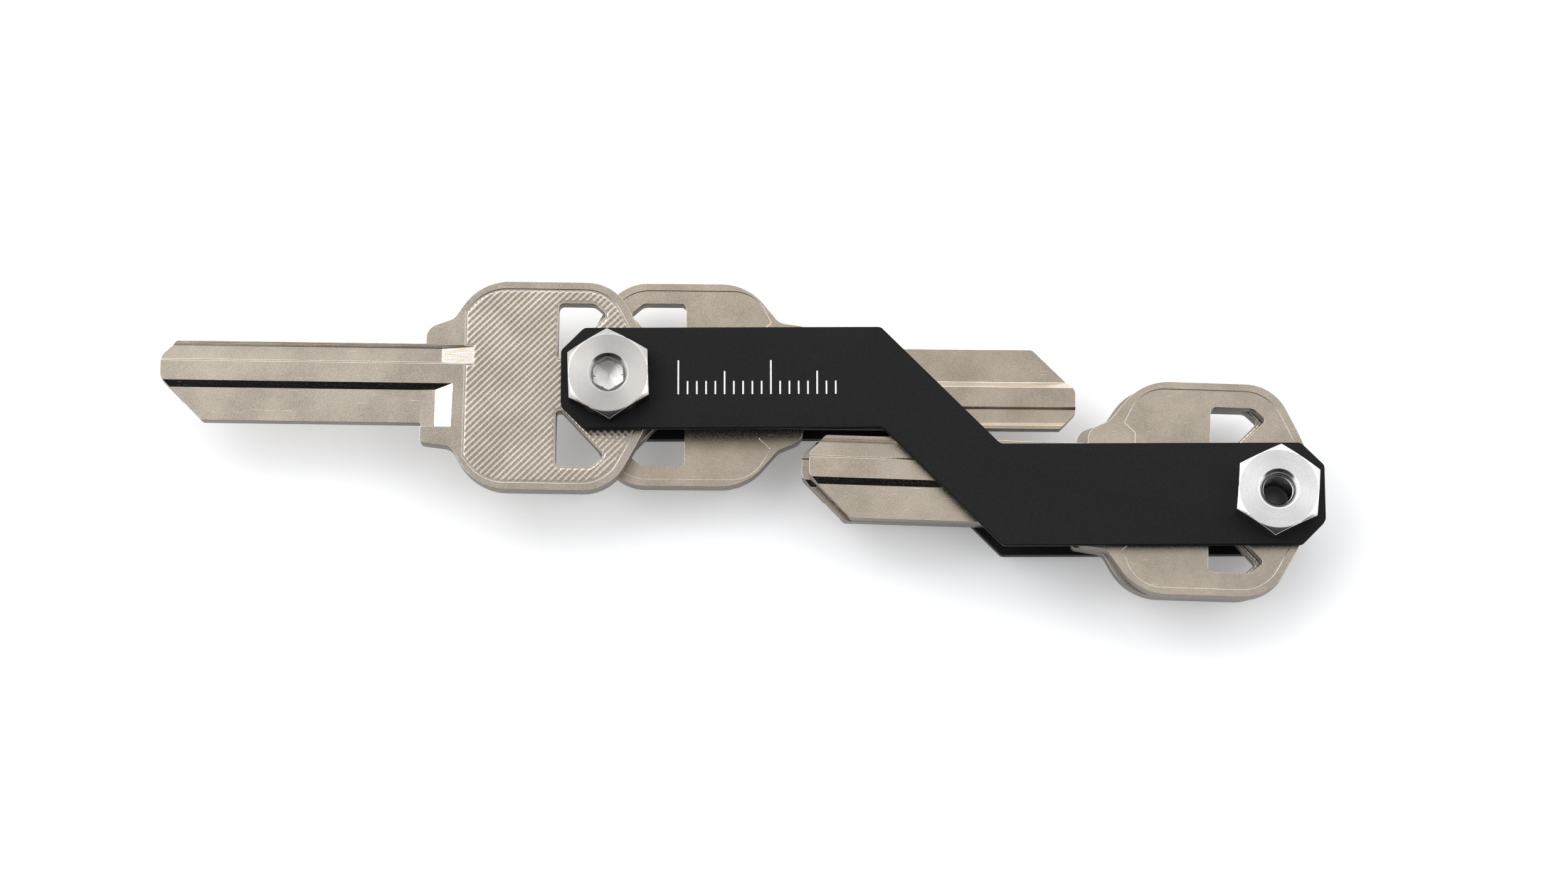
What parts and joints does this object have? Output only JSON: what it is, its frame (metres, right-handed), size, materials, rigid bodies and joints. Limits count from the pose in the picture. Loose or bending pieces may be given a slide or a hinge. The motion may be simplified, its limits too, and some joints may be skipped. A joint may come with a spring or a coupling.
{
  "type": "key organiser",
  "caption": "Z-shaped key organiser: two black plates clamped by two hex-headed posts, with uncut key blanks that swing out from between the plates.",
  "frame": {"origin": "on the left post's axis, in the plane of the rear heads' outer faces, on which the organiser lies", "axes": "+X along the plates towards the right post, +Z along the posts from the rear heads to the front heads"},
  "size_m": [0.1258, 0.0354, 0.0126],
  "materials": {
    "black_anodised": "matte black anodised",
    "satin_steel": "satin turned",
    "bright_steel": "bright turned",
    "nickel_knurled": "satin nickel plate, diamond knurled bow",
    "nickel_plain": "satin nickel plate",
    "washer_steel": "plain",
    "engraving_white": "white filled engraving"
  },
  "bodies": {
    "root": {"front_plate": "black_anodised", "back_plate": "black_anodised", "left_screw": "satin_steel", "left_barrel": "satin_steel", "right_barrel": "bright_steel", "right_screw": "bright_steel", "left_washer_front": "washer_steel", "left_washer_middle": "washer_steel", "left_washer_rear": "washer_steel", "right_washer_front": "washer_steel", "right_washer_middle": "washer_steel", "right_washer_rear": "washer_steel"},
    "left_front_key": {"left_front_key": "nickel_knurled"},
    "left_rear_key": {"left_rear_key": "nickel_plain"},
    "right_front_key": {"right_front_key": "nickel_plain"},
    "right_rear_key": {"right_rear_key": "nickel_knurled"}
  },
  "joints": [
    {"name": "left_front_swing", "type": "hinge", "parent": "root", "child": "left_front_key", "pos_m": [0, 0, 0.0075], "axis": [0, 0, 1], "range_deg": [-180, 90]},
    {"name": "left_rear_swing", "type": "hinge", "parent": "root", "child": "left_rear_key", "pos_m": [0, 0, 0.0051], "axis": [0, 0, 1], "range_deg": [0, 270]},
    {"name": "right_front_swing", "type": "hinge", "parent": "root", "child": "right_front_key", "pos_m": [0.0718, -0.01295, 0.0075], "axis": [0, 0, 1], "range_deg": [0, 270]},
    {"name": "right_rear_swing", "type": "hinge", "parent": "root", "child": "right_rear_key", "pos_m": [0.0718, -0.01295, 0.0051], "axis": [0, 0, 1], "range_deg": [0, 270]}
  ]
}
